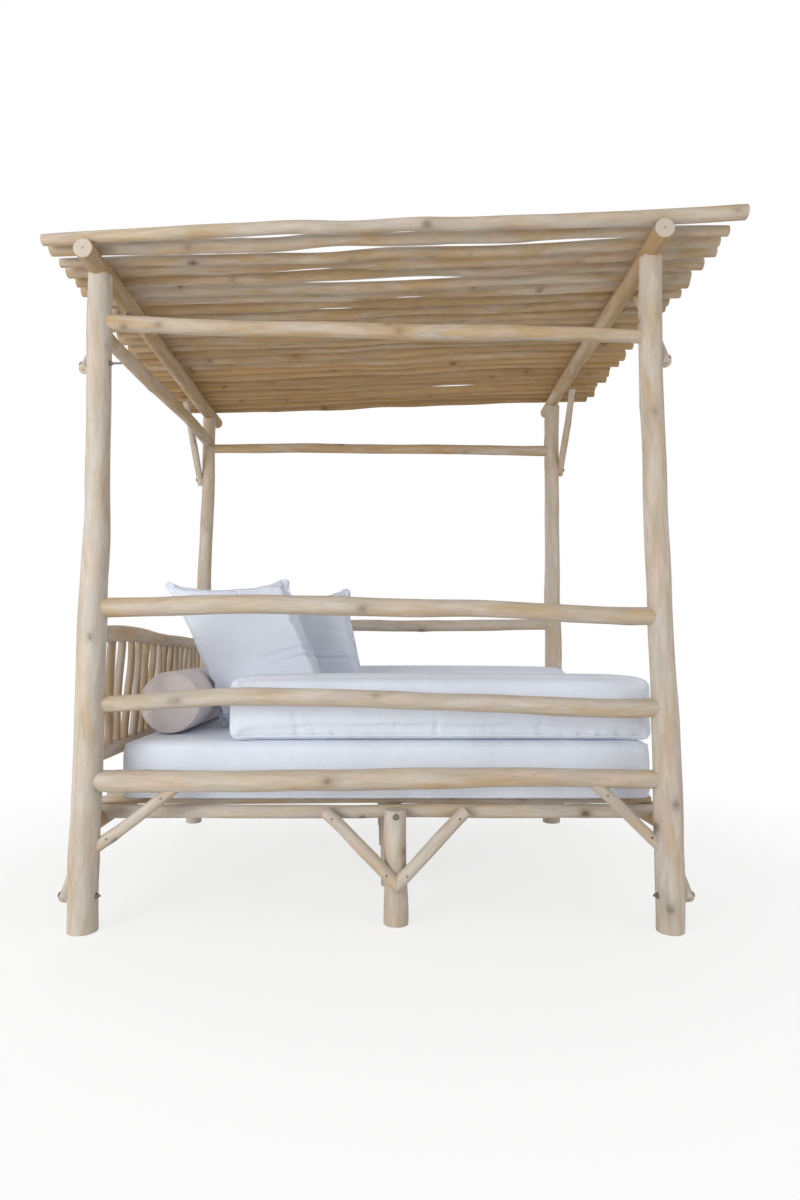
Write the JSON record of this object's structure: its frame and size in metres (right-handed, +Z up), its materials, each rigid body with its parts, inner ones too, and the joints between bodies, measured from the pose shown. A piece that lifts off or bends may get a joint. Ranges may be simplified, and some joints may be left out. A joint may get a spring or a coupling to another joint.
{
  "type": "outdoor daybed with canopy",
  "caption": "Four-poster outdoor daybed of peeled crooked poles under a slatted pole roof, with spindle headboard, guard rails, mattress, back cushions, bolster and pillows.",
  "frame": {"origin": "on the floor, under the middle of the whole object's box", "axes": "+X runs from the headboard to the open foot end, -Y faces the front, +Z up"},
  "size_m": [2.4662, 1.9268, 2.4981],
  "materials": {
    "peeled_teak": "peeled, sanded and dry, pale and unvarnished",
    "peeled_teak_deep": "peeled and dry, a deeper tan than the posts",
    "white_canvas": "plain-weave outdoor canvas, matt",
    "sand_canvas": "plain-weave canvas with piped ends, matt",
    "bolt_steel": "dull, weathered"
  },
  "bodies": {
    "frame": {"centre_leg_front": "peeled_teak", "centre_leg_rear": "peeled_teak", "corner_brace_front_foot": "peeled_teak", "corner_brace_front_head": "peeled_teak", "corner_brace_rear_foot": "peeled_teak", "corner_brace_rear_head": "peeled_teak", "guard_rail_front_base": "peeled_teak", "guard_rail_front_middle": "peeled_teak", "guard_rail_front_top": "peeled_teak", "guard_rail_rear_base": "peeled_teak", "guard_rail_rear_middle": "peeled_teak", "guard_rail_rear_top": "peeled_teak", "headboard_grille": "peeled_teak_deep", "headboard_top_rail": "peeled_teak", "inner_leg_front": "peeled_teak", "inner_leg_rear": "peeled_teak", "post_front_foot": "peeled_teak", "post_front_head": "peeled_teak", "post_rear_foot": "peeled_teak", "post_rear_head": "peeled_teak", "roof_beam_foot": "peeled_teak_deep", "roof_beam_head": "peeled_teak_deep", "roof_pole_01": "peeled_teak", "roof_pole_02": "peeled_teak", "roof_pole_03": "peeled_teak", "roof_pole_04": "peeled_teak", "roof_pole_05": "peeled_teak", "roof_pole_06": "peeled_teak", "roof_pole_07": "peeled_teak", "roof_pole_08": "peeled_teak", "roof_pole_09": "peeled_teak", "roof_pole_10": "peeled_teak", "roof_pole_11": "peeled_teak", "roof_pole_12": "peeled_teak", "roof_pole_13": "peeled_teak", "roof_pole_14": "peeled_teak", "roof_pole_15": "peeled_teak", "roof_pole_16": "peeled_teak", "roof_pole_17": "peeled_teak", "roof_pole_18": "peeled_teak", "roof_pole_19": "peeled_teak", "roof_pole_20": "peeled_teak", "roof_pole_21": "peeled_teak", "roof_pole_22": "peeled_teak", "roof_pole_23": "peeled_teak", "roof_pole_24": "peeled_teak", "roof_pole_25": "peeled_teak", "side_rail_foot": "peeled_teak_deep", "side_rail_head": "peeled_teak_deep", "slat_deck": "peeled_teak_deep", "upper_rail_front": "peeled_teak_deep", "upper_rail_head": "peeled_teak_deep", "upper_rail_rear": "peeled_teak_deep"},
    "mattress": {"mattress": "white_canvas"},
    "back_cushion_front": {"back_cushion_front": "white_canvas"},
    "back_cushion_rear": {"back_cushion_rear": "white_canvas"},
    "bolster": {"bolster": "sand_canvas"},
    "pillow_front": {"pillow_front": "white_canvas"},
    "pillow_rear": {"pillow_rear": "white_canvas"}
  },
  "joints": [
    {"name": "mattress_lift", "type": "slide", "parent": "frame", "child": "mattress", "axis": [0, 0, 1], "range_m": [0, 0.2]},
    {"name": "back_cushion_front_lift", "type": "slide", "parent": "mattress", "child": "back_cushion_front", "axis": [0, 0, 1], "range_m": [0, 0.4]},
    {"name": "back_cushion_rear_lift", "type": "slide", "parent": "mattress", "child": "back_cushion_rear", "axis": [0, 0, 1], "range_m": [0, 0.4]},
    {"name": "bolster_lift", "type": "slide", "parent": "mattress", "child": "bolster", "axis": [0, 0, 1], "range_m": [0, 0.3]},
    {"name": "pillow_front_lift", "type": "slide", "parent": "bolster", "child": "pillow_front", "axis": [0, 0, 1], "range_m": [0, 0.3]},
    {"name": "pillow_rear_lift", "type": "slide", "parent": "mattress", "child": "pillow_rear", "axis": [0, 0, 1], "range_m": [0, 0.5]}
  ]
}
